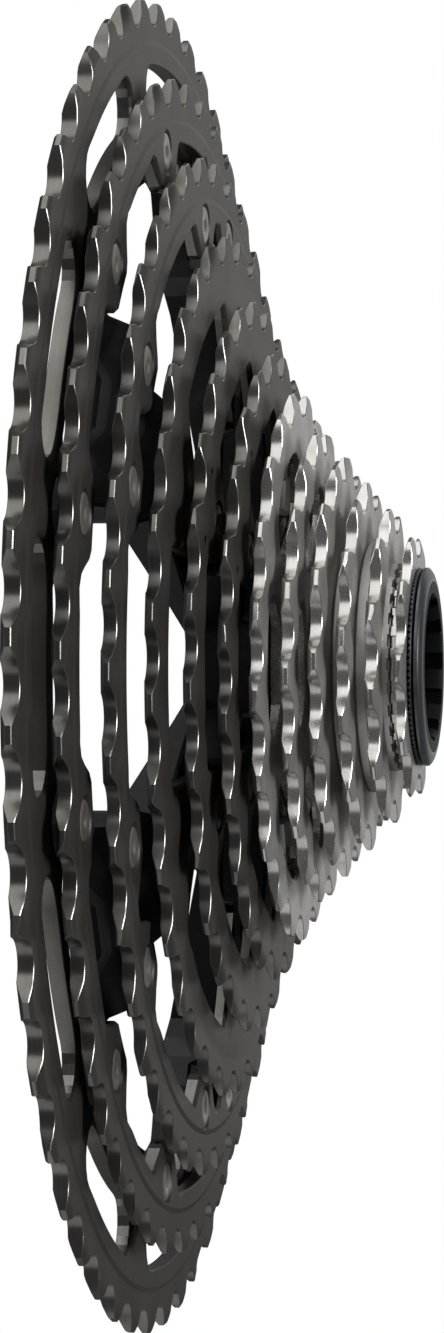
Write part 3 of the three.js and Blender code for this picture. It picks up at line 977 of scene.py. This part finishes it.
def make_rivets(label, teeth, tree):
    """All the rivets of one sprocket, copied onto their spots."""
    stack = frame["record"]["behaviour"]["bodies"]["stack"]
    nodes = [name for name in stack if name.startswith(f"rivet_{label}")]
    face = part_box(f"sprocket_{teeth}t")[1].z + step_rise(teeth) * MM
    tail = min(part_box(name)[0].z for name in nodes)
    seed = rivet_seed((face - tail) / MM)
    spots = [((low + high) / 2).to_2d() for low, high in (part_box(name) for name in nodes)]
    mesh = bpy.data.meshes.new(f"rivets_{label}")
    mesh.from_pydata([(spot.x, spot.y, face) for spot in spots], [], [])
    piece = bpy.data.objects.new(f"rivets_{label}", mesh)
    bpy.context.scene.collection.objects.link(piece)
    grown(piece, tree, {"Seed": seed, "Material": RIVET_STEEL}, 35)
    bpy.data.objects.remove(seed)
    return ride_stack(piece, "rivet_steel", *nodes)


rivet_tree = copies_tree()
for teeth in (45, 39, 28, 24):
    make_rivets(f"{teeth}t", teeth, rivet_tree)


# ---- Spacers, washer and lockring ----------------------------------------------------------------

def groove_of(angles, count, share):
    """1 inside each of a number of equal grooves, 0 between them."""
    return ((angles * count / 360) % 1 < share).astype(float)


def saw_of(angles, count):
    """A triangle wave from 0 to 1."""
    return 2 * np.abs((angles * count / 360) % 1 - 0.5)


def make_spacer(node):
    low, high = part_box(node)
    bottom, top, outer = low.z / MM - 0.25, high.z / MM + 0.25, high.x / MM
    profile = [(BORE_RADIUS, bottom + 0.2), (BORE_RADIUS + 0.9, bottom),
               (outer - 0.25, bottom), (outer, bottom + 0.25),
               (outer, top - 0.25), (outer - 0.25, top), (BORE_RADIUS + 0.9, top), (BORE_RADIUS, top - 0.2)]

    def splines(i, angles):
        return SPLINE_DEPTH * groove_of(angles, SPLINES, 0.5) if i in (0, 7) else 0

    points, faces = turned_mesh(profile, SPLINES * 8, radial=splines)
    piece = new_piece(f"turned_{node}", points, faces, [BRIGHT_FACE], [0] * len(faces), 30)
    return ride_stack(piece, "bright_steel", node)


def make_washer():
    low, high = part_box("lockring_washer")
    bottom, top, outer = low.z / MM - 0.2, high.z / MM, high.x / MM
    profile = [(SMALL_BORE_RADIUS, bottom), (outer - 0.1, bottom), (outer, bottom + 0.1), (outer, top - 0.1),
               (outer - 0.1, top), (SMALL_BORE_RADIUS + 0.2, top)]

    def teeth(i, angles):
        return 0.42 * saw_of(angles, SERRATIONS) if i in (1, 2) else 0

    points, faces = turned_mesh(profile, SERRATIONS * 4, axial=teeth)
    piece = new_piece("serrated_washer", points, faces, [WASHER_STEEL], [0] * len(faces), 30)
    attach(piece, "washer")
    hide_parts("lockring_washer")


SERRATIONS = 96
TOOL_NOTCHES = 12


def make_lockring():
    low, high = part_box("lockring")
    top, bottom, outer = high.z / MM, low.z / MM, high.x / MM
    under = top - 1.3
    profile = [(10.9, bottom), (12.0, bottom)]
    ridges = np.arange(bottom + 0.5, under - 1.0, 0.5)
    profile += [(12.3 if i % 2 else 11.95, height) for i, height in enumerate(ridges)]
    profile += [(12.3, under - 0.4), (12.6, under), (outer - 0.25, under), (outer - 0.02, under + 0.12),
                (outer, under + 0.5), (outer - 0.12, under + 0.56), (outer - 0.1, under + 0.62),
                (outer - 0.22, under + 0.74), (outer - 0.55, under + 0.96), (outer - 1.05, under + 1.14),
                (outer - 1.75, top - 0.03), (outer - 2.1, top),
                (11.5, top), (11.2, top - 0.2), (10.9, top - 0.9),
                (10.9, top - 4.2), (10.9, top - 4.4)]
    count = len(profile)

    def notches(i, angles):
        if i == count - 4:
            return 0.3 * groove_of(angles, TOOL_NOTCHES, 0.42)
        if i in (count - 3, count - 2):
            return 0.85 * groove_of(angles, TOOL_NOTCHES, 0.42)
        return 0

    points, faces = turned_mesh(profile, SERRATIONS * 4, radial=notches)
    # The row before the rim is the sloped rim band, in the lighter finish: painted highlight
    rim = count - 6
    # Rows from the rim on, the front face and the bore, take the near-black finish: painted shade
    parts = [1 if row == rim - 1 else 2 if row >= rim else 0 for row in range(count)]
    finish = [part for part in parts for _ in range(SERRATIONS * 4)]
    finishes = [LOCKRING_ALLOY, LOCKRING_RIM_HIGHLIGHT, LOCKRING_BORE_SHADE]
    piece = new_piece("knurled_lockring", points, faces, finishes, finish, 32)
    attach(piece, "lockring")
    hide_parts("lockring")


for node in ("spacer_21t_18t", "spacer_18t_16t", "spacer_16t_14t", "spacer_14t_12t"):
    make_spacer(node)
make_washer()
make_lockring()


# ---- Room, light and camera ------------------------------------------------------------------------

def make_floor():
    """A pale sweep that the camera sees plain white and that throws little light back on the steel."""
    bpy.ops.mesh.primitive_plane_add(size=8)
    floor = bpy.context.object
    floor.name = "floor"
    floor.location.z = -0.0003
    material = bpy.data.materials.new("pale_floor")
    material.use_nodes = True
    tree = material.node_tree
    shader = tree.nodes["Principled BSDF"]
    shader.inputs["Base Color"].default_value = (0.35, 0.35, 0.35, 1)
    shader.inputs["Roughness"].default_value = 0.9
    glow = tree.nodes.new("ShaderNodeEmission")
    glow.inputs["Color"].default_value = (1, 1, 1, 1)
    seen = tree.nodes.new("ShaderNodeLightPath").outputs["Is Camera Ray"]
    blend = tree.nodes.new("ShaderNodeMixShader")
    tree.links.new(seen, blend.inputs[0])
    tree.links.new(shader.outputs[0], blend.inputs[1])
    tree.links.new(glow.outputs[0], blend.inputs[2])
    tree.links.new(blend.outputs[0], tree.nodes["Material Output"].inputs["Surface"])
    floor.data.materials.append(material)
    floor.visible_glossy = False
    floor.visible_shadow = False


def soft_light(name, place, size, power, color=(1, 1, 1)):
    light = bpy.data.lights.new(name, "AREA")
    light.shape = "RECTANGLE"
    light.size, light.size_y = size
    light.energy = power
    light.color = color
    lamp = bpy.data.objects.new(name, light)
    lamp.location = place
    lamp.rotation_euler = (Vector((0, 0, 0.02)) - Vector(place)).to_track_quat("-Z", "Y").to_euler()
    bpy.context.scene.collection.objects.link(lamp)
    return lamp


def make_world():
    """Dim all round, and pale where the camera looks past the floor."""
    world = bpy.data.worlds.new("studio")
    world.use_nodes = True
    tree = world.node_tree
    dim = tree.nodes["Background"]
    dim.inputs["Color"].default_value = (0.95, 0.97, 1, 1)
    dim.inputs["Strength"].default_value = 0.1
    pale = tree.nodes.new("ShaderNodeBackground")
    pale.inputs["Color"].default_value = (1, 1, 1, 1)
    pick = tree.nodes.new("ShaderNodeMixShader")
    path = tree.nodes.new("ShaderNodeLightPath")
    tree.links.new(path.outputs["Is Camera Ray"], pick.inputs["Fac"])
    tree.links.new(dim.outputs[0], pick.inputs[1])
    tree.links.new(pale.outputs[0], pick.inputs[2])
    tree.links.new(pick.outputs[0], tree.nodes["World Output"].inputs["Surface"])
    bpy.context.scene.world = world


def make_camera():
    camera = bpy.data.cameras.new("camera")
    camera.lens = 97.66
    camera.sensor_width = 36
    camera.clip_end = 20
    eye = bpy.data.objects.new("camera", camera)
    eye.location = (0.01238, -0.55754, 0.11302)
    eye.rotation_euler = Euler([math.radians(turn) for turn in (0.012, -79.618, 91.264)])
    bpy.context.scene.collection.objects.link(eye)
    bpy.context.scene.camera = eye


make_floor()
make_world()
make_camera()
soft_light("upper softbox", (-1.15, -0.5, -0.1), (2.2, 0.9), 7)
soft_light("lower softbox", (1.15, -0.2, -0.1), (1.3, 0.9), 1.6)
soft_light("back panel", (-0.5, 1.2, 0.3), (1.6, 0.6), 1.5)
soft_light("end light", (-0.3, -0.35, 1.2), (0.6, 0.6), 9)
bpy.context.scene.view_settings.view_transform = "Standard"
